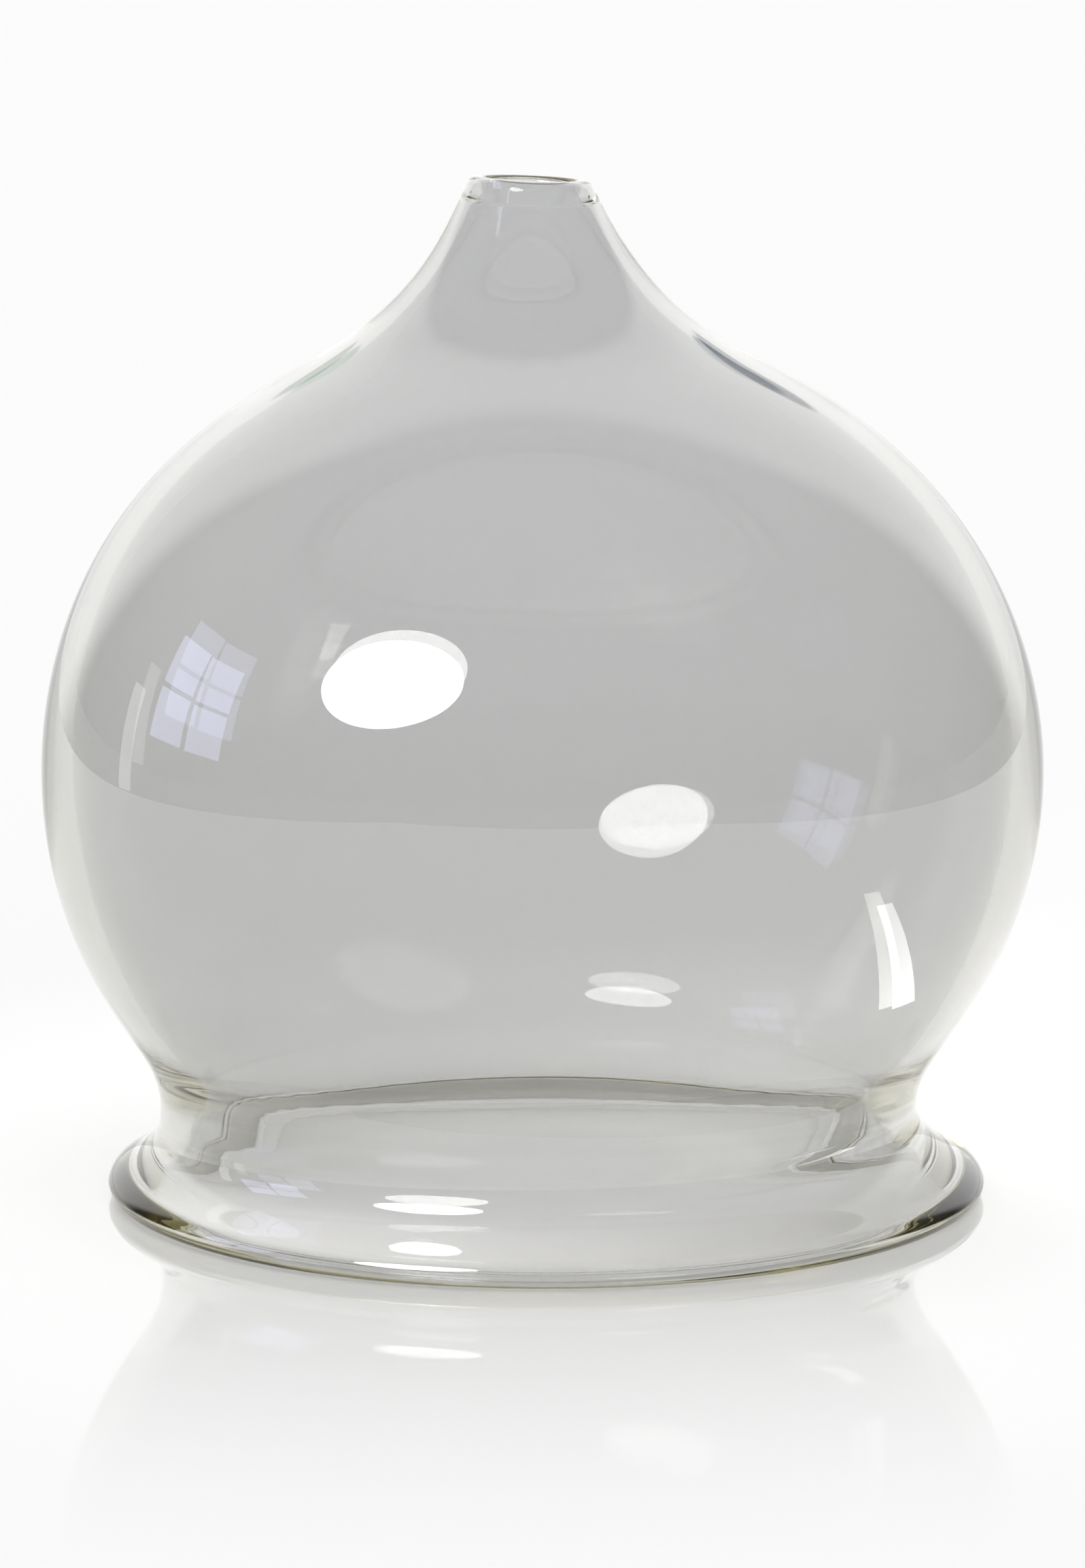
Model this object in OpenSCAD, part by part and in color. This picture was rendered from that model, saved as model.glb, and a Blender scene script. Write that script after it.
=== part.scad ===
// Cupping glass of clear blown glass: a round bulb with an open, tapered neck at its crown
// and a waist that flares into a flat-footed rim.
// Z runs up the axis, and the origin is the centre of the circle on which the rim rests.
// Inside and out, the wall is a chain of tangent arcs turned about that axis.
// The chain is divided at the neck's root and at the waist, where the three shapes are worked.

/* [Bulb] */
// Outside diameter of the bulb at its widest
bulb_d = 100; // [92:0.5:106]
// Radius of the belly's curve in section
belly_r = 43; // [41:0.5:45]
// Angle above the widest circle at which the belly passes into the flatter shoulder
shoulder_angle = 52; // [46:0.5:56]
// Radius of the shoulder's curve in section
shoulder_r = 66.5; // [62:0.5:76]
// Thickness of the bulb's wall at its widest
bulb_wall = 2.9; // [2:0.1:3.4]
// Height of the inside above the outside, which thins the shoulder's wall
inside_rise = 1.2; // [0:0.1:1.5]
// Radius of the shoulder's curve inside
shoulder_in_r = 65; // [61:0.5:75]

/* [Neck] */
// Height of the tip above the bulb's widest circle
neck_h = 59.1; // [57:0.1:63]
// Outside diameter of the tip, where the sides of the neck reach its top
tip_d = 12; // [11.8:0.1:13.6]
// Diameter of the hole in the tip
hole_d = 8.6; // [7.8:0.1:8.8]
// Length of the hole's straight stretch
hole_l = 0.6; // [0.5:0.1:1.2]
// Rounding of the tip outside, where the wall turns in to the hole
lip_r = 1.1; // [0.8:0.1:1.3]
// Rounding of the hole's upper edge
hole_edge = 0.6; // [0.4:0.1:0.8]
// Lean of the lip's underside from the axis
lip_angle = 50; // [45:1:75]
// Lean of the neck's sides from the axis
neck_angle = 23.5; // [21:0.5:27]
// Thickness of the neck's wall
neck_wall = 1.25; // [0.9:0.05:1.5]
// Radius of the neck's flare into the shoulder, outside
flare_r = 29; // [22:1:35]
// Radius of the neck's flare into the shoulder, inside
root_r = 26.5; // [20:0.5:30]

/* [Rim] */
// Outside diameter of the waist, the narrowest circle above the rim
waist_d = 75.2; // [73:0.2:77]
// Height of the waist above the foot of the rim
waist_h = 8.6; // [8.2:0.1:10]
// Radius of the hollow curve from the belly into the waist
waist_r = 10; // [8:0.5:15]
// Outside diameter of the rim
rim_d = 88.2; // [85:0.2:92]
// Radius of the flare from the waist to the top of the rim
rim_fillet = 5; // [3:0.1:5.6]
// Rounding of the rim's edge
edge_r = 1.5; // [1:0.1:1.8]
// Width of the flat ring on which the rim rests
land_w = 1.8; // [1:0.1:2.8]
// Rounding of the flat ring's inner edge
foot_r = 1; // [0.5:0.1:2]
// Diameter of the mouth inside the waist
mouth_d = 68.6; // [66:0.2:71]
// Radius of the mouth's flare from the waist to the flat ring
mouth_r = 5.3; // [3:0.1:7]

/* [Hidden] */
// Longest chord of an arc, and the widest turn between two chords in degrees
chord_l = 2.5;
chord_turn = 12;
glass = [0.80, 0.84, 0.80, 0.45];
$fn = 144;

function dir(a) = [cos(a), sin(a)];

// Points of an arc about c from angle a0 to a1
function arc(c, r, a0, a1) =
    let (
        turn = abs(a1 - a0),
        n = max(2, ceil(turn / chord_turn), ceil(turn * PI / 180 * r / chord_l))
    )
    [for (i = [0 : n]) c + r * dir(a0 + (a1 - a0) * i / n)];

// Centre of the arc of radius r that runs from the neck's side through p into a shoulder about c of radius rs
function root_centre(p, r, c, rs) =
    let (
        side = [sin(neck_angle), -cos(neck_angle)],
        q = p + r * dir(neck_angle),
        w = q - c,
        b = w * side,
        k = w * w - pow(rs + r, 2)
    )
    q - side * (b + sqrt(max(0, b * b - k)));

// Angle of the point v as seen from c
function bearing(c, v) = atan2(v.y - c.y, v.x - c.x);

// Waist: centre of its hollow curve
waist_c = [waist_d / 2 + waist_r, waist_h];

// Bulb: the belly stands on the waist, with its centre where the two curves touch
belly_x = bulb_d / 2 - belly_r;
bulb_h = waist_h + sqrt(pow(belly_r + waist_r, 2) - pow(waist_c.x - belly_x, 2));
belly_c = [belly_x, bulb_h];
belly_end = bearing(belly_c, waist_c);
shoulder_c = belly_c + (belly_r - shoulder_r) * dir(shoulder_angle);

// Inside of the bulb: its belly and the shoulder above, and below the widest circle a wider curve
// that runs into the waist's own hollow, moved in by the thickness of the wall
belly_ri = belly_r - bulb_wall;
belly_in_c = belly_c + [0, inside_rise];
shoulder_in_c = belly_in_c + (belly_ri - shoulder_in_r) * dir(shoulder_angle);
waist_wall = (waist_d - mouth_d) / 2;
lower_r = belly_r + (waist_wall - bulb_wall) / (1 - cos(belly_end));
lower_c = [bulb_d / 2 - bulb_wall - lower_r, belly_in_c.y];
hollow_c = lower_c + (lower_r + waist_r) * dir(belly_end);

// Neck: the outer and inner arcs at its root, and where they meet the shoulder
tip = [tip_d / 2, bulb_h + neck_h];
tip_in = tip - neck_wall * dir(neck_angle);
flare_c = root_centre(tip, flare_r, shoulder_c, shoulder_r);
root_c = root_centre(tip_in, root_r, shoulder_in_c, shoulder_in_r);
flare_end = bearing(shoulder_c, flare_c);
root_end = bearing(shoulder_in_c, root_c);

// Lip: its rounding outside and inside, and the lean that leads from the hole to the neck's inner side
lip_out_c = [tip.x - lip_r * (1 - sin(neck_angle)) / cos(neck_angle), tip.y - lip_r];
lip_in_c = [hole_d / 2 + hole_edge, tip.y - hole_edge];
hole_end = tip.y - hole_edge - hole_l;
lip_drop = (tip_in.x + (tip_in.y - hole_end) * tan(neck_angle) - hole_d / 2)
    / (tan(lip_angle) - tan(neck_angle));

// Rim: the slope of its top, its edge, and where the mouth's flare leaves its arc for the foot
fillet_c = [waist_d / 2 + rim_fillet, waist_h];
edge_c = [rim_d / 2 - edge_r, edge_r];
slope = bearing(fillet_c, edge_c) + asin(min(1, (rim_fillet + edge_r) / norm(edge_c - fillet_c)));
foot_c = [edge_c.x - land_w, foot_r];
mouth_c = [mouth_d / 2 + mouth_r, hollow_c.y];
mouth_end = bearing(mouth_c, foot_c) + 360 - acos(min(1, (mouth_r - foot_r) / norm(foot_c - mouth_c)));

// Open, tapered neck, its wall turned in at the tip to a round-edged hole
module neck() {
    lip = concat(
        [[hole_d / 2, hole_end]],
        arc(lip_in_c, hole_edge, 180, 90),
        arc(lip_out_c, lip_r, 90, neck_angle)
    );
    outside = arc(flare_c, flare_r, 180 + neck_angle, 180 + flare_end);
    inside = arc(root_c, root_r, 180 + root_end, 180 + neck_angle);
    ledge = [[hole_d / 2 + lip_drop * tan(lip_angle), hole_end - lip_drop]];
    color(glass) rotate_extrude() polygon(concat(lip, outside, inside, ledge));
}

// Round bulb, from the neck's root down to the waist
module bulb() {
    outside = concat(
        arc(shoulder_c, shoulder_r, flare_end, shoulder_angle),
        arc(belly_c, belly_r, shoulder_angle, belly_end),
        arc(waist_c, waist_r, 180 + belly_end, 180)
    );
    inside = concat(
        arc(hollow_c, waist_r, 180, 180 + belly_end),
        arc(lower_c, lower_r, belly_end, 0),
        arc(belly_in_c, belly_ri, 0, shoulder_angle),
        arc(shoulder_in_c, shoulder_in_r, shoulder_angle, root_end)
    );
    color(glass) rotate_extrude() polygon(concat(outside, inside));
}

// Flared rim with a rounded edge and a flat ring underneath
module rim() {
    outside = concat(
        arc(fillet_c, rim_fillet, 180, slope + 270),
        arc(edge_c, edge_r, slope + 90, -90)
    );
    inside = concat(
        arc(foot_c, foot_r, 270, mouth_end),
        arc(mouth_c, mouth_r, mouth_end, 180)
    );
    color(glass) rotate_extrude() polygon(concat(outside, inside));
}

neck();
bulb();
rim();
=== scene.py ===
# %% [markdown]
# # A blown cupping glass
# This lesson dresses the CAD model of a cupping glass: a bell of clear blown glass with a round
# bulb, an open neck and a flared rim. The CAD holds three solids that meet face to face at the
# neck's root and at the waist. The real glass is one piece, and a seam inside clear glass would
# show, so here one wall is turned in one go and stands for all three solids. The rest of the lesson
# is about what makes glass look like glass: the thickness of its wall, its faint colour and what it
# mirrors.

# %% Load the frame
from math import acos, asin, atan2, ceil, cos, degrees, pi, radians, sin, sqrt, tan

import bpy
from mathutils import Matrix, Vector


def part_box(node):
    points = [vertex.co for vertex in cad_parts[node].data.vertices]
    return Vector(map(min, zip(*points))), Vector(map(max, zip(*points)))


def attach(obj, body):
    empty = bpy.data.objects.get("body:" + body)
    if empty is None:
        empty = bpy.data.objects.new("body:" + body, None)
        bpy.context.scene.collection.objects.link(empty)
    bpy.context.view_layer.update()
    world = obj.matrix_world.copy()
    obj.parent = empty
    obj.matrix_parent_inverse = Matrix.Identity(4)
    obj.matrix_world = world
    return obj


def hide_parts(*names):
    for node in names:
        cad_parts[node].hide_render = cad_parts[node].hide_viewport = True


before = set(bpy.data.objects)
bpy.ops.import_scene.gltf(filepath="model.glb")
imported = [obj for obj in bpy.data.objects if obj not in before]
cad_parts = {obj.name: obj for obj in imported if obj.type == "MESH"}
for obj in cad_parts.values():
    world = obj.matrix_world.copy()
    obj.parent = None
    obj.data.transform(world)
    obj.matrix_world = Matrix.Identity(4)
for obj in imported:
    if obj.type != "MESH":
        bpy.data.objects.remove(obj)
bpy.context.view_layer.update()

MM = 0.001
scene = bpy.context.scene
scene.view_settings.view_transform = "Standard"

# %% [markdown]
# ## The camera
# The camera comes first, because every shape is judged through it. A level ring looks flatter the
# nearer it lies to the height of the eye. Here the tip is seen almost edge-on while the rim's
# ellipse is open, so the camera stands close, and only a little higher than the tip. A camera far
# away would show both rings equally flat.

# %% Place the camera
PHOTO_HEIGHT = 2306
PIXELS_PER_MM = 14.72
SENSOR = 36.0
VIEW_ELEVATION = radians(9.1)
VIEW_DISTANCE = 0.6
VIEW_REACH = 50.0
AIM_HEIGHT = 41.2 * MM

camera_data = bpy.data.cameras.new("photo_camera")
camera_data.sensor_fit = "VERTICAL"
camera_data.sensor_height = SENSOR
camera_data.lens = SENSOR * PIXELS_PER_MM * VIEW_DISTANCE / MM / PHOTO_HEIGHT
camera_data.clip_end = VIEW_REACH
camera = bpy.data.objects.new("photo_camera", camera_data)
scene.collection.objects.link(camera)
camera.location = (
    0.0,
    -VIEW_DISTANCE * cos(VIEW_ELEVATION),
    AIM_HEIGHT + VIEW_DISTANCE * sin(VIEW_ELEVATION),
)
camera.rotation_euler = (pi / 2 - VIEW_ELEVATION, 0.0, 0.0)
scene.camera = camera
print(f"camera: lens {camera_data.lens:.0f} mm, {VIEW_DISTANCE} m away")

# %% [markdown]
# ## The wall's outline
# A blown bell is round about its axis, so half of its section says everything. The section is a
# chain of arcs that touch without a corner, outside and inside. The sizes that the frame holds are
# read from it: the widest circle, the rim, the height of the waist and that of the tip. The others
# are the radii of the arcs and the thickness of the wall. Thin glass shows little of its inner face
# from the front, but at the edge of the bulb a bright band as wide as the wall appears, so the
# thickness matters.

# %% Read the sizes that the frame holds
bulb_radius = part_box("bulb")[1][0]
rim_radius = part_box("rim")[1][0]
waist_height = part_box("bulb")[0][2]
tip_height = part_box("neck")[1][2]
print(f"bulb {bulb_radius / MM:.2f}, rim {rim_radius / MM:.2f}, tip {tip_height / MM:.2f} mm")

# %% [markdown]
# ## Arcs and straight stretches
# In a mesh an arc is a row of short chords. With too few the glass shows facets, and with too many
# the mesh grows heavy. So an arc gets as many points as its length or its turn asks for, whichever
# is more. A straight stretch is divided too, so that the turned wall has faces of about one size.

# %% Helpers for arcs
CHORD = 0.9 * MM
CHORD_TURN = radians(9.0)


def ray(angle):
    """A unit step in the section, at an angle from the outward direction."""
    return Vector((cos(angle), sin(angle)))


def bearing(start, end):
    """The angle at which end is seen from start."""
    return atan2(end.y - start.y, end.x - start.x)


def arc(centre, radius, first, last):
    """Points of an arc, with more of them where it is long or turns far."""
    turn = abs(last - first)
    steps = max(2, ceil(turn / CHORD_TURN), ceil(turn * radius / CHORD))
    return [centre + radius * ray(first + (last - first) * i / steps) for i in range(steps + 1)]


def line(start, end):
    """Points strictly between two ends, a chord apart."""
    steps = max(1, ceil((end - start).length / CHORD))
    return [start.lerp(end, i / steps) for i in range(1, steps)]


print(f"chords of at most {CHORD / MM:.1f} mm and {degrees(CHORD_TURN):.0f} degrees")

# %% [markdown]
# ## The bulb's curves
# Outside, the bulb is a round belly with a flatter shoulder above it, and a hollow curve leads down
# into the waist. The belly stands on that hollow, so its centre follows from where the two circles
# touch. Inside, the belly lies a little higher, which thins the shoulder as blowing does. Its lower
# part runs into the waist's own hollow, moved in by the wall. Two faces that are nearly parallel
# bend light only a little, and that keeps the view through the bulb calm.

# %% Place the bulb's arcs
BELLY_CURVE = 43.0 * MM
SHOULDER_CURVE = 66.5 * MM
SHOULDER_INSIDE = 65.0 * MM
SHOULDER_START = radians(52.0)
BULB_WALL = 2.9 * MM
INSIDE_RISE = 1.2 * MM
WAIST_RADIUS = 37.6 * MM
WAIST_CURVE = 10.0 * MM
MOUTH_RADIUS = 34.3 * MM

waist_centre = Vector((WAIST_RADIUS + WAIST_CURVE, waist_height))
belly_x = bulb_radius - BELLY_CURVE
touching = BELLY_CURVE + WAIST_CURVE
bulb_height = waist_height + sqrt(touching ** 2 - (waist_centre.x - belly_x) ** 2)
belly_centre = Vector((belly_x, bulb_height))
belly_end = bearing(belly_centre, waist_centre)
shoulder_centre = belly_centre + (BELLY_CURVE - SHOULDER_CURVE) * ray(SHOULDER_START)

belly_inside = BELLY_CURVE - BULB_WALL
belly_inner = belly_centre + Vector((0.0, INSIDE_RISE))
inner_centre = belly_inner + (belly_inside - SHOULDER_INSIDE) * ray(SHOULDER_START)
waist_wall = WAIST_RADIUS - MOUTH_RADIUS
lower_inside = BELLY_CURVE + (waist_wall - BULB_WALL) / (1 - cos(belly_end))
lower_inner = Vector((bulb_radius - BULB_WALL - lower_inside, belly_inner.y))
hollow_centre = lower_inner + (lower_inside + WAIST_CURVE) * ray(belly_end)
print(f"widest circle {bulb_height / MM:.2f} mm up, waist's wall {waist_wall / MM:.1f} mm")

# %% [markdown]
# ## The neck's curves
# The neck was drawn out of the soft bulb, so its straight sides flare into the shoulder. The flare
# is an arc that touches both. Its centre lies one radius beside the neck's side, and as far from the
# shoulder's centre as the two radii together. A quadratic equation gives that place, once for the
# outside and once for the inside.

# %% Place the neck's arcs
TIP_RADIUS = 6.0 * MM
NECK_LEAN = radians(23.5)
NECK_WALL = 1.25 * MM
FLARE_CURVE = 29.0 * MM
ROOT_CURVE = 26.5 * MM


def root_centre(point, radius, centre, shoulder_radius):
    """Centre of the arc that leads from the neck's side through point into a shoulder."""
    side = Vector((sin(NECK_LEAN), -cos(NECK_LEAN)))
    start = point + radius * ray(NECK_LEAN)
    away = start - centre
    along = away.dot(side)
    rest = away.length_squared - (shoulder_radius + radius) ** 2
    return start - side * (along + sqrt(along * along - rest))


tip_point = Vector((TIP_RADIUS, tip_height))
tip_inner = tip_point - NECK_WALL * ray(NECK_LEAN)
flare_centre = root_centre(tip_point, FLARE_CURVE, shoulder_centre, SHOULDER_CURVE)
root_inner = root_centre(tip_inner, ROOT_CURVE, inner_centre, SHOULDER_INSIDE)
flare_end = bearing(shoulder_centre, flare_centre)
root_end = bearing(inner_centre, root_inner)
print(f"the flare meets the shoulder at {degrees(flare_end):.1f} degrees")

# %% [markdown]
# ## The lip
# The tip was cut off and its edge melted round in the flame, so the wall turns in to a slightly
# narrower hole. A bevelled edge would look like turned metal, so the lip is two roundings, with a
# short straight hole below them and a lean that leads back to the neck's inner side.

# %% Draw the lip
HOLE_RADIUS = 4.3 * MM
HOLE_LENGTH = 0.6 * MM
HOLE_EDGE = 0.6 * MM
LIP_ROUND = 1.1 * MM
LIP_LEAN = radians(50.0)

lip_set_in = LIP_ROUND * (1 - sin(NECK_LEAN)) / cos(NECK_LEAN)
lip_outer = Vector((TIP_RADIUS - lip_set_in, tip_height - LIP_ROUND))
lip_inner = Vector((HOLE_RADIUS + HOLE_EDGE, tip_height - HOLE_EDGE))
hole_end = Vector((HOLE_RADIUS, tip_height - HOLE_EDGE - HOLE_LENGTH))
lip_reach = tip_inner.x + (tip_inner.y - hole_end.y) * tan(NECK_LEAN) - HOLE_RADIUS
lip_drop = lip_reach / (tan(LIP_LEAN) - tan(NECK_LEAN))
ledge = hole_end + lip_drop * Vector((tan(LIP_LEAN), -1.0))

lip = [hole_end]
lip += arc(lip_inner, HOLE_EDGE, pi, pi / 2)
lip += arc(lip_outer, LIP_ROUND, pi / 2, NECK_LEAN)
print(f"lip of {len(lip)} points, hole {2 * HOLE_RADIUS / MM:.1f} mm wide")

# %% [markdown]
# ## Neck and bulb as two rows of points
# The arcs are now laid end to end. The outside runs from the lip down to the waist and the inside
# back up from the waist to the lip, so that the two rows and the rim between them make one loop.

# %% Lay the outside and the inside
flare = arc(flare_centre, FLARE_CURVE, pi + NECK_LEAN, pi + flare_end)
outside = lip + line(lip[-1], flare[0]) + flare
outside += arc(shoulder_centre, SHOULDER_CURVE, flare_end, SHOULDER_START)
outside += arc(belly_centre, BELLY_CURVE, SHOULDER_START, belly_end)
outside += arc(waist_centre, WAIST_CURVE, pi + belly_end, pi)

inside = arc(hollow_centre, WAIST_CURVE, pi, pi + belly_end)
inside += arc(lower_inner, lower_inside, belly_end, 0.0)
inside += arc(belly_inner, belly_inside, 0.0, SHOULDER_START)
inside += arc(inner_centre, SHOULDER_INSIDE, SHOULDER_START, root_end)
root = arc(root_inner, ROOT_CURVE, pi + root_end, pi + NECK_LEAN)
inside += root + line(root[-1], ledge) + [ledge]
print(f"{len(outside)} points outside, {len(inside)} inside")

# %% [markdown]
# ## The rim
# The rim is what rests on the skin, so it is wide, rounded at its edge and flat only on a narrow
# ring underneath. Its top flares out of the waist and runs straight into the rounded edge. Below,
# the mouth flares from the waist's inner face to the flat ring. Both straight stretches touch two
# arcs, and an arcsine and an arccosine give the angles at which they do.

# %% Draw the rim
RIM_FLARE = 5.0 * MM
EDGE_ROUND = 1.5 * MM
LAND_WIDTH = 1.8 * MM
FOOT_ROUND = 1.0 * MM
MOUTH_CURVE = 5.3 * MM

fillet_centre = Vector((WAIST_RADIUS + RIM_FLARE, waist_height))
edge_centre = Vector((rim_radius - EDGE_ROUND, EDGE_ROUND))
edge_away = (edge_centre - fillet_centre).length
slope = bearing(fillet_centre, edge_centre) + asin((RIM_FLARE + EDGE_ROUND) / edge_away)
foot_centre = Vector((edge_centre.x - LAND_WIDTH, FOOT_ROUND))
mouth_centre = Vector((MOUTH_RADIUS + MOUTH_CURVE, hollow_centre.y))
mouth_away = (foot_centre - mouth_centre).length
mouth_lean = acos((MOUTH_CURVE - FOOT_ROUND) / mouth_away)
mouth_turn = bearing(mouth_centre, foot_centre) + 2 * pi - mouth_lean

fillet = arc(fillet_centre, RIM_FLARE, pi, slope + 1.5 * pi)
edge = arc(edge_centre, EDGE_ROUND, slope + pi / 2, -pi / 2)
foot = arc(foot_centre, FOOT_ROUND, 1.5 * pi, mouth_turn)
mouth = arc(mouth_centre, MOUTH_CURVE, mouth_turn, pi)
rim = fillet + line(fillet[-1], edge[0]) + edge + foot + line(foot[-1], mouth[0]) + mouth
print(f"rim of {len(rim)} points, its top slopes {degrees(slope):.0f} degrees")

# %% [markdown]
# ## Soften the outline
# Two arcs that touch still change their curvature at once. Clear glass shows such a place as a hard
# line, because light is bent differently on its two sides, and hot glass doesn't keep any. So each
# point moves part of the way to its neighbours, many times over. The closely set points of the lip
# and the foot of the rim are left alone: they carry the smallest roundings and the flat ring.

# %% Close the outline and soften it
SAME_POINT = 0.02 * MM
SOFT_PASSES = 20
SOFT_FROM = 0.2 * MM
SOFT_ABOVE = 1.6 * MM
OWN_SHARE = 0.5
NEXT_SHARE = 0.25


def without_repeats(points):
    """The same points, less those that lie on the one before."""
    kept = [points[0]]
    for point in points[1:]:
        if (point - kept[-1]).length > SAME_POINT:
            kept.append(point)
    return kept


def relax(points, passes):
    """Soften the places where two arcs meet, but not closely set points and not the foot."""
    for _ in range(passes):
        moved = list(points)
        for i in range(1, len(points) - 1):
            before, here, after = points[i - 1:i + 2]
            coarse = min((here - before).length, (after - here).length) > SOFT_FROM
            if coarse and here.y > SOFT_ABOVE:
                moved[i] = NEXT_SHARE * before + OWN_SHARE * here + NEXT_SHARE * after
        points = moved
    return points


outline = relax(without_repeats(outside + rim + inside), SOFT_PASSES)
print(f"outline of {len(outline)} points")

# %% [markdown]
# ## Turning the wall
# On a lathe a profile is drawn once and swept about the axis. Blender's Spin does the same: one
# corner is extruded along the outline, the loop is closed, and Spin sweeps it all the way round.
# The first and last rows are then merged, and the normals are made to point out of the glass.

# %% Draw the outline and spin it
TURN_STEPS = 176
MERGE_WITHIN = 0.005 * MM


def start_point(name, place):
    """A mesh of one vertex, left in edit mode with that vertex selected."""
    bpy.ops.object.select_all(action="DESELECT")
    bpy.ops.mesh.primitive_plane_add(size=MM, location=(0.0, 0.0, 0.0))
    made = bpy.context.object
    made.name = name
    bpy.ops.object.mode_set(mode="EDIT")
    bpy.ops.mesh.select_all(action="SELECT")
    bpy.ops.mesh.merge(type="CENTER")
    bpy.ops.transform.translate(value=(place.x, 0.0, place.y))
    return made


glass = start_point("cupping_glass", outline[0])
for here, there in zip(outline, outline[1:]):
    step = there - here
    bpy.ops.mesh.extrude_region_move(TRANSFORM_OT_translate={"value": (step.x, 0.0, step.y)})
bpy.ops.mesh.select_all(action="DESELECT")
bpy.ops.object.mode_set(mode="OBJECT")
ends = [0, len(glass.data.vertices) - 1]
for index in ends:
    glass.data.vertices[index].select = True
bpy.ops.object.mode_set(mode="EDIT")
bpy.ops.mesh.edge_face_add()
bpy.ops.mesh.select_all(action="SELECT")
bpy.ops.mesh.spin(steps=TURN_STEPS, angle=2 * pi, center=(0.0, 0.0, 0.0), axis=(0.0, 0.0, 1.0))
bpy.ops.mesh.select_all(action="SELECT")
bpy.ops.mesh.remove_doubles(threshold=MERGE_WITHIN)
bpy.ops.mesh.normals_make_consistent(inside=False)
bpy.ops.object.mode_set(mode="OBJECT")
bpy.ops.object.shade_smooth()
print(f"turned wall: {len(glass.data.vertices)} vertices, {len(glass.data.polygons)} faces")

# %% [markdown]
# ## The glassworker's hand
# Glass that is blown and drawn by hand is never quite true. On this one the neck stands a little
# to one side, the waist and the rim have drifted by a few tenths of a millimetre, and the tip was
# cut with a slight tilt. Each ring of the wall is moved sideways by its height, and near the tip
# it is tilted too. A lattice could do the same, but a short list of heights and shifts is easier to
# read.

# %% Let the wall wander
# Heights above the foot and the shift to the right there, in millimetres
WANDER = [
    (0.0, 0.4),
    (4.0, 0.3),
    (9.0, -0.4),
    (20.0, -0.2),
    (43.0, 0.0),
    (78.0, -0.4),
    (90.0, -1.1),
    (103.0, -1.2),
]
TIP_TILT = radians(2.4)
TIP_TILT_DEPTH = 9.0 * MM
tilt_from = tip_height - TIP_TILT_DEPTH


def smooth(t):
    """A step from 0 to 1 with soft ends."""
    t = min(max(t, 0.0), 1.0)
    return t * t * (3 - 2 * t)


def drift(height):
    """The sideways shift of the wall at a height."""
    for (low, first), (high, last) in zip(WANDER, WANDER[1:]):
        if height <= high * MM:
            return MM * (first + (last - first) * smooth((height / MM - low) / (high - low)))
    return MM * WANDER[-1][1]


for vertex in glass.data.vertices:
    place = vertex.co
    tilt = smooth((place.z - tilt_from) / (tip_height - tilt_from)) * tan(TIP_TILT)
    place.z -= tilt * (place.x + TIP_RADIUS)
    place.x += drift(place.z)
glass.data.update()
print(f"neck moved {drift(tip_height) / MM:.1f} mm, rim {drift(0.0) / MM:.1f} mm")

# %% [markdown]
# ## The glass itself
# Clear glass has almost no colour of its own, so its look is made of a few small things. It bends
# light as it comes in and goes out, and it mirrors a little head on and a lot at a glancing angle:
# the shader's refraction does both. Its faces carry a light grey tint, so that the bell stands out
# from a white room. Its body takes a little light for every millimetre crossed, and blue most of
# all, so the thick rim is olive while the bulb stays grey. That part belongs to the volume. A faint
# ripple, far too low to see as a shape, unsettles the mirror images as blown glass does. Rays that
# ask how much light reaches the table go straight through and lose a fifth of it at each face,
# which leaves a soft shadow.

# %% Make the glass material
IOR = 1.52
SURFACE_TINT = (0.738, 0.740, 0.755, 1.0)
BODY_COLOUR = (0.62, 0.59, 0.32, 1.0)
BODY_DENSITY = 30.0
SHADE = (0.8, 0.8, 0.8, 1.0)
RIPPLE_SIZE = 0.03
RIPPLE_DETAIL = 1.0
RIPPLE_DEPTH = 0.00002


def clear_glass():
    """Blown glass: refraction with a faint ripple, and a body that takes a little light."""
    material = bpy.data.materials.new("clear_glass")
    material.use_nodes = True
    nodes, links = material.node_tree.nodes, material.node_tree.links
    surface = nodes["Principled BSDF"]
    surface.inputs["Base Color"].default_value = SURFACE_TINT
    surface.inputs["Roughness"].default_value = 0.0
    surface.inputs["IOR"].default_value = IOR
    surface.inputs["Transmission Weight"].default_value = 1.0
    place = nodes.new("ShaderNodeTexCoord")
    ripple = nodes.new("ShaderNodeTexNoise")
    ripple.inputs["Scale"].default_value = 1.0 / RIPPLE_SIZE
    ripple.inputs["Detail"].default_value = RIPPLE_DETAIL
    bump = nodes.new("ShaderNodeBump")
    bump.inputs["Distance"].default_value = RIPPLE_DEPTH
    links.new(place.outputs["Object"], ripple.inputs["Vector"])
    links.new(ripple.outputs["Fac"], bump.inputs["Height"])
    links.new(bump.outputs["Normal"], surface.inputs["Normal"])
    body = nodes.new("ShaderNodeVolumeAbsorption")
    body.inputs["Color"].default_value = BODY_COLOUR
    body.inputs["Density"].default_value = BODY_DENSITY
    path = nodes.new("ShaderNodeLightPath")
    clear = nodes.new("ShaderNodeBsdfTransparent")
    clear.inputs["Color"].default_value = SHADE
    mix = nodes.new("ShaderNodeMixShader")
    output = nodes["Material Output"]
    links.new(path.outputs["Is Shadow Ray"], mix.inputs["Fac"])
    links.new(surface.outputs["BSDF"], mix.inputs[1])
    links.new(clear.outputs["BSDF"], mix.inputs[2])
    links.new(mix.outputs["Shader"], output.inputs["Surface"])
    links.new(body.outputs["Volume"], output.inputs["Volume"])
    return material


glass.data.materials.clear()
glass.data.materials.append(clear_glass())
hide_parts("neck", "bulb", "rim")
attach(glass, "root")
print("material:", glass.data.materials[0].name)

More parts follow.
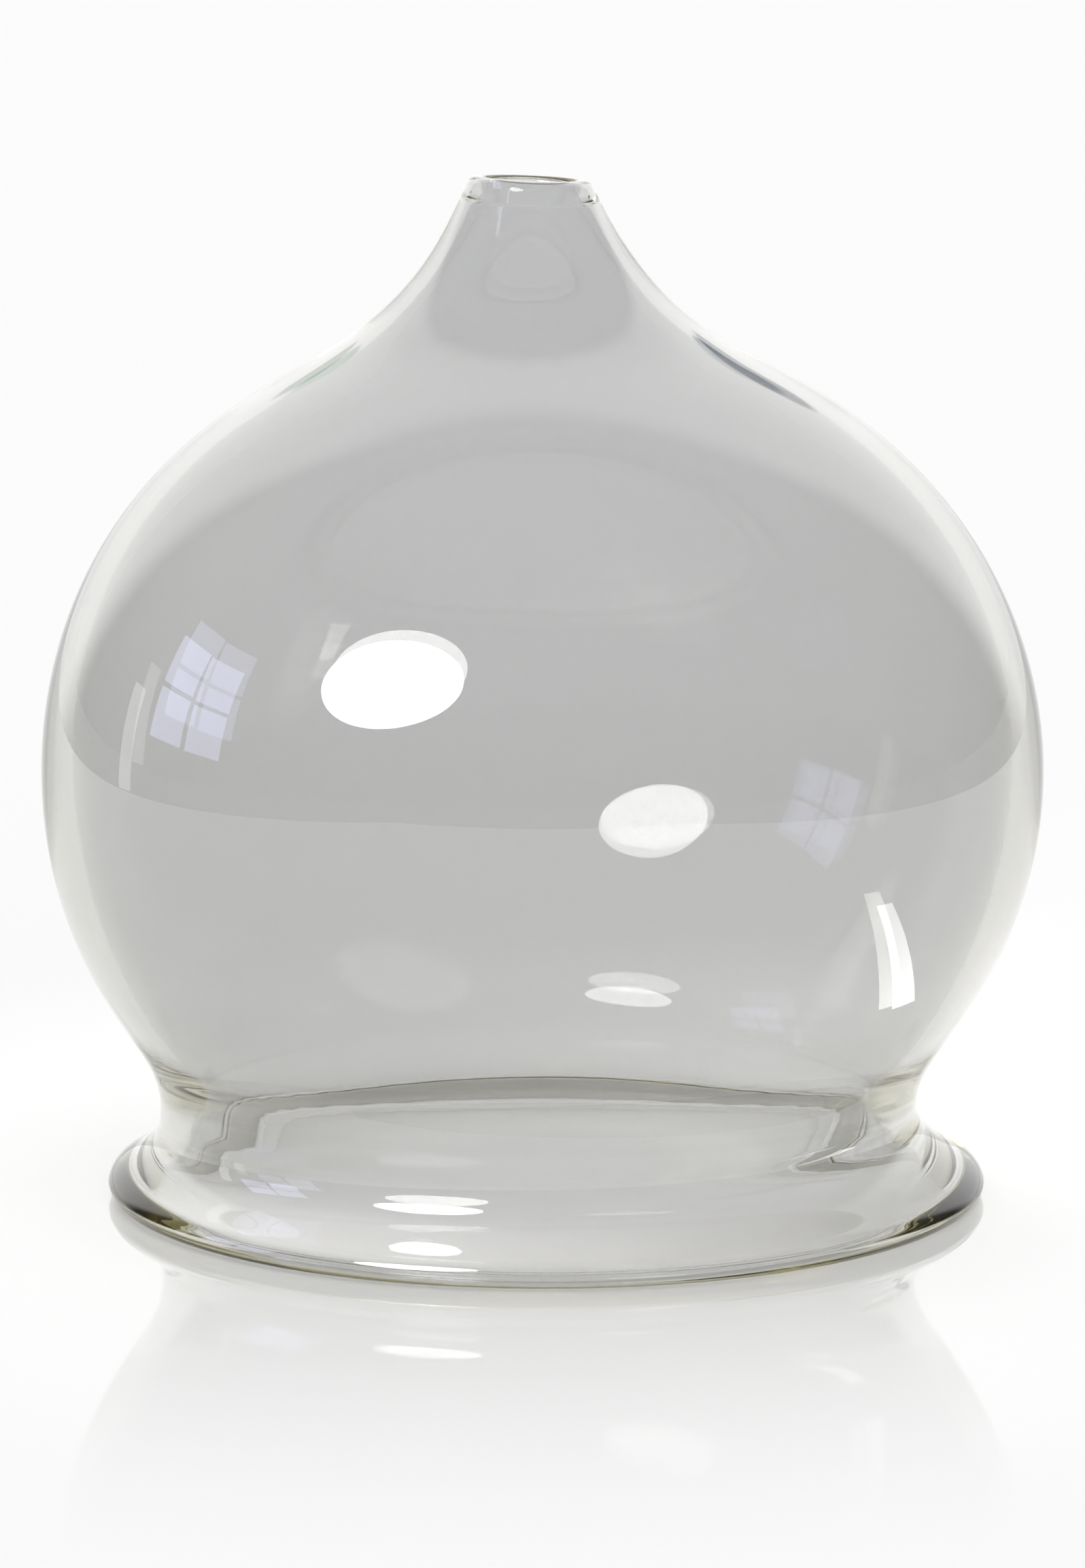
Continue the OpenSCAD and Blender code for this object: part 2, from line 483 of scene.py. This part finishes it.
# %% [markdown]
# ## The table's finish
# The glass stands on a pale, polished table top, which gives the soft mirror image below the rim. A
# polish all over would mirror the room far from the glass too, and the plain ground would be lost.
# So the polish fades into a matt finish of the same colour, by the distance from the glass.

# %% Make the table's material
TABLE_COLOUR = (0.97, 0.97, 0.97, 1.0)
TABLE_ROUGHNESS = 0.03
GLOSS_FROM, GLOSS_TO = 45.0 * MM, 140.0 * MM


def pale_table():
    """A pale top that is polished round the glass and matt farther off."""
    material = bpy.data.materials.new("pale_table")
    material.use_nodes = True
    nodes, links = material.node_tree.nodes, material.node_tree.links
    polished = nodes["Principled BSDF"]
    polished.inputs["Base Color"].default_value = TABLE_COLOUR
    polished.inputs["Roughness"].default_value = TABLE_ROUGHNESS
    matt = nodes.new("ShaderNodeBsdfDiffuse")
    matt.inputs["Color"].default_value = TABLE_COLOUR
    place = nodes.new("ShaderNodeTexCoord")
    away = nodes.new("ShaderNodeVectorMath")
    away.operation = "LENGTH"
    fade = nodes.new("ShaderNodeMapRange")
    fade.interpolation_type = "SMOOTHSTEP"
    fade.inputs["From Min"].default_value = GLOSS_FROM
    fade.inputs["From Max"].default_value = GLOSS_TO
    blend = nodes.new("ShaderNodeMixShader")
    links.new(place.outputs["Object"], away.inputs[0])
    links.new(away.outputs["Value"], fade.inputs["Value"])
    links.new(fade.outputs["Result"], blend.inputs["Fac"])
    links.new(polished.outputs["BSDF"], blend.inputs[1])
    links.new(matt.outputs["BSDF"], blend.inputs[2])
    links.new(blend.outputs["Shader"], nodes["Material Output"].inputs["Surface"])
    return material


table_material = pale_table()
print("material:", table_material.name)

# %% [markdown]
# ## The table
# The table belongs to the stage, not to the object. It is a long sheet with an end, and the bulb
# mirrors that end as a horizon line: below the line it mirrors the pale table, above it the dark
# front of the room, so the glass is a shade darker there. A ground without an end would leave the
# bulb without its line.

# %% Lay the table
TABLE_WIDTH = 1.0
TABLE_FRONT, TABLE_BACK = -0.83, 4.5
TABLE_DROP = 0.05 * MM

bpy.ops.object.select_all(action="DESELECT")
bpy.ops.mesh.primitive_plane_add(size=1.0, location=(0.0, 0.0, -TABLE_DROP))
table = bpy.context.object
table.name = "table"
bpy.ops.object.mode_set(mode="EDIT")
bpy.ops.transform.resize(value=(TABLE_WIDTH, TABLE_BACK - TABLE_FRONT, 1.0))
bpy.ops.transform.translate(value=(0.0, (TABLE_BACK + TABLE_FRONT) / 2, 0.0))
bpy.ops.object.mode_set(mode="OBJECT")
table.data.materials.append(table_material)
print(f"table: {TABLE_WIDTH} m wide, {TABLE_BACK - TABLE_FRONT:.2f} m long")

# %% [markdown]
# ## Lamps that are only mirrored
# Glass shows its surroundings more than itself, so a lamp is placed by where its mirror image lies
# on the bulb. Such a lamp shouldn't light the table or stand in the picture, so it is hidden from
# matt surfaces and from the camera. Its brightness is given as what a mirror would show, and the
# energy that Blender asks for follows from that and from the lamp's area.

# %% Helpers for lamps
WHITE = (1.0, 1.0, 1.0)


def mirrored_lamp(name, width, height, radiance, colour=WHITE, shape="RECTANGLE"):
    """An area lamp that glass and polish show, and nothing else does."""
    data = bpy.data.lights.new(name, "AREA")
    data.shape = shape
    data.size = width
    data.size_y = height
    area = width * height * (pi / 4 if shape == "ELLIPSE" else 1.0)
    data.energy = radiance * pi * area
    data.color = colour
    made = bpy.data.objects.new(name, data)
    scene.collection.objects.link(made)
    made.visible_diffuse = False
    made.visible_camera = False
    return made


def face_bulb(made, toward, distance, roll=0.0):
    """Hang a lamp in a direction from the bulb's middle, facing it."""
    direction = Vector(toward).normalized()
    made.location = Vector((0.0, 0.0, bulb_height)) + direction * distance
    made.rotation_euler = (-direction).to_track_quat("-Z", "Y").to_euler()
    made.rotation_euler.rotate_axis("Z", roll)


print(f"lamps face the bulb's middle, {bulb_height / MM:.1f} mm up")

# %% [markdown]
# ## The round lamp and the streak
# A round lamp in front on the left gives the white ovals: one on the near wall, one on the far wall
# and small flat ones lower down. The streak at the lower right is light that the bell gathers on the
# table. Tracing that light takes many samples and still leaves specks, so a small flat lamp on the
# table stands in for it.

# %% Hang the round lamp and lay the streak
ROUND_TOWARD = (-0.507, -0.715, 0.481)
ROUND_AWAY = 0.35
ROUND_WIDTH, ROUND_HEIGHT = 0.54 * ROUND_AWAY, 0.36 * ROUND_AWAY
ROUND_TURN = radians(15.0)
ROUND_RADIANCE = 20.0
GLINT_PLACE = Vector((85.0, -26.0, 2.0)) * MM
GLINT_LENGTH, GLINT_WIDTH = 54.0 * MM, 9.0 * MM
GLINT_TURN = radians(-28.0)
GLINT_RADIANCE = 5.0

round_lamp = mirrored_lamp("round_lamp", ROUND_WIDTH, ROUND_HEIGHT, ROUND_RADIANCE, shape="ELLIPSE")
face_bulb(round_lamp, ROUND_TOWARD, ROUND_AWAY, ROUND_TURN)
glint = mirrored_lamp("table_glint", GLINT_LENGTH, GLINT_WIDTH, GLINT_RADIANCE)
glint.location = GLINT_PLACE
glint.rotation_euler = (pi, 0.0, GLINT_TURN)
print(f"round lamp {ROUND_AWAY} m away, streak {GLINT_LENGTH / MM:.0f} mm long")

# %% [markdown]
# ## The window
# A window on the left shows as a cool grid of panes on the bulb, with a thin sliver of light beside
# it. Each pane is a lamp of its own, and the dark bars are the gaps between them. One lamp with a
# picture of a window would need an image, and four small ones do the same.

# %% Hang the window
PANES_AWAY = 0.5
PANES_TOWARD = (-0.964, -0.075, 0.248)
PANE_PITCH_ACROSS, PANE_PITCH_UP = 0.20, 0.17
PANE_WIDTH, PANE_HEIGHT = 0.18 * PANES_AWAY, 0.15 * PANES_AWAY
PANE_COLOUR = (0.62, 0.64, 1.0)
PANE_RADIANCE = 3.5
SLIVER_TOWARD = (-0.969, 0.244, 0.06)
SLIVER_WIDTH, SLIVER_HEIGHT = 0.08 * PANES_AWAY, 0.28 * PANES_AWAY
SLIVER_RADIANCE = 1.6

sliver = mirrored_lamp("sliver_lamp", SLIVER_WIDTH, SLIVER_HEIGHT, SLIVER_RADIANCE)
face_bulb(sliver, SLIVER_TOWARD, PANES_AWAY)
for column in (-0.5, 0.5):
    for row in (-0.5, 0.5):
        pane = mirrored_lamp("pane_lamp", PANE_WIDTH, PANE_HEIGHT, PANE_RADIANCE, PANE_COLOUR)
        toward = (
            PANES_TOWARD[0],
            PANES_TOWARD[1] + PANE_PITCH_ACROSS * column,
            PANES_TOWARD[2] + PANE_PITCH_UP * row,
        )
        face_bulb(pane, toward, PANES_AWAY)

# %% [markdown]
# ## The room that the glass sees
# In a white room without contrast clear glass would vanish. A photographer sets it before a bright
# wall with the room dark in front, and the contrast draws the edges. The world's shader does the
# same: it is bright toward the back and a little upward, dimmer overhead and dark in front. Light
# that goes through the glass sees a paler front and a plainer wall than light that is mirrored, so
# that the bell stays clear.

# %% Helpers for the room
WALL_FROM, WALL_TO = 0.68, 0.85
WALL_LEAN = 0.45
CEILING = 0.45


def two_shades(nodes, links, share, first, second):
    """A blend of two colours by a share; each is a constant or another node's output."""
    blend = nodes.new("ShaderNodeMixRGB")
    links.new(share, blend.inputs["Fac"])
    for socket, colour in (("Color1", first), ("Color2", second)):
        if isinstance(colour, tuple):
            blend.inputs[socket].default_value = colour
        else:
            links.new(colour, blend.inputs[socket])
    return blend.outputs["Color"]


def brightness(nodes, links, way):
    """The share of the bright wall in a direction: all of it behind, some overhead, none in front."""
    axes = nodes.new("ShaderNodeSeparateXYZ")
    lean = nodes.new("ShaderNodeMath")
    lean.operation = "MULTIPLY_ADD"
    lean.inputs[1].default_value = WALL_LEAN
    wall = nodes.new("ShaderNodeMapRange")
    wall.interpolation_type = "SMOOTHSTEP"
    wall.inputs["From Min"].default_value = WALL_FROM
    wall.inputs["From Max"].default_value = WALL_TO
    ceiling = nodes.new("ShaderNodeMath")
    ceiling.operation = "MULTIPLY"
    ceiling.inputs[1].default_value = CEILING
    bright = nodes.new("ShaderNodeMath")
    bright.operation = "MAXIMUM"
    links.new(way, axes.inputs["Vector"])
    links.new(axes.outputs["Z"], lean.inputs[0])
    links.new(axes.outputs["Y"], lean.inputs[2])
    links.new(lean.outputs["Value"], wall.inputs["Value"])
    links.new(axes.outputs["Z"], ceiling.inputs[0])
    links.new(wall.outputs["Result"], bright.inputs[0])
    links.new(ceiling.outputs["Value"], bright.inputs[1])
    return bright.outputs["Value"]


print(f"the wall begins at {WALL_FROM} and is full at {WALL_TO}")

# %% [markdown]
# ## Two dim corners
# At the neck's root the glass curves both ways and gathers a wide view of the back of the room.
# Two small dim places there, one bluish and one greenish, give it its thin coloured streaks. Each is
# a disc in the world's shader: the distance between two directions, cut off at a radius.

# %% Helper for the corners
# Direction, radius on a sphere of radius 1, and colour
CORNERS = [
    ((0.252, 0.893, 0.373), 0.07, (0.16, 0.20, 0.26, 1.0)),
    ((-0.244, 0.908, 0.342), 0.06, (0.45, 0.58, 0.50, 1.0)),
]
CORNER_EDGE = 0.75


def with_corners(nodes, links, way, room):
    """The room's colour with each corner laid over it."""
    for toward, radius, colour in CORNERS:
        away = nodes.new("ShaderNodeVectorMath")
        away.operation = "DISTANCE"
        away.inputs[1].default_value = toward
        inner = nodes.new("ShaderNodeMapRange")
        inner.inputs["From Min"].default_value = radius
        inner.inputs["From Max"].default_value = radius * CORNER_EDGE
        links.new(way, away.inputs[0])
        links.new(away.outputs["Value"], inner.inputs["Value"])
        room = two_shades(nodes, links, inner.outputs["Result"], room, colour)
    return room


print("corners:", len(CORNERS))

# %% [markdown]
# ## The world
# The table and the camera get plain, even white light, and only rays that were mirrored or went
# through glass see the room. Light that enters the bell is thrown to and fro between its faces, so
# the number of bounces is raised; with too few, the rim would fill with black.

# %% Build the world
ROOM_LIGHT = (1.0, 1.0, 1.0, 1.0)
ROOM_WALL = (1.35, 1.35, 1.35, 1.0)
ROOM_DARK = (0.07, 0.07, 0.07, 1.0)
ROOM_FRONT = (0.75, 0.75, 0.75, 1.0)
BOUNCES = 64


def studio():
    """A world that is even for the table and the camera and a room for the glass."""
    made = bpy.data.worlds.new("studio")
    made.use_nodes = True
    nodes, links = made.node_tree.nodes, made.node_tree.links
    even = nodes["Background"]
    even.inputs["Color"].default_value = ROOM_LIGHT
    way = nodes.new("ShaderNodeTexCoord").outputs["Generated"]
    path = nodes.new("ShaderNodeLightPath")
    refracted = path.outputs["Is Transmission Ray"]
    front = two_shades(nodes, links, refracted, ROOM_DARK, ROOM_FRONT)
    back = two_shades(nodes, links, refracted, ROOM_WALL, ROOM_LIGHT)
    room = two_shades(nodes, links, brightness(nodes, links, way), front, back)
    seen = nodes.new("ShaderNodeBackground")
    by_glass = nodes.new("ShaderNodeMath")
    by_glass.operation = "ADD"
    by_glass.use_clamp = True
    mix = nodes.new("ShaderNodeMixShader")
    links.new(with_corners(nodes, links, way, room), seen.inputs["Color"])
    links.new(path.outputs["Is Glossy Ray"], by_glass.inputs[0])
    links.new(refracted, by_glass.inputs[1])
    links.new(by_glass.outputs["Value"], mix.inputs["Fac"])
    links.new(even.outputs["Background"], mix.inputs[1])
    links.new(seen.outputs["Background"], mix.inputs[2])
    links.new(mix.outputs["Shader"], nodes["World Output"].inputs["Surface"])
    return made


scene.world = studio()
scene.cycles.max_bounces = BOUNCES
scene.cycles.glossy_bounces = BOUNCES
scene.cycles.transmission_bounces = BOUNCES
print("room: bright behind, dark in front")
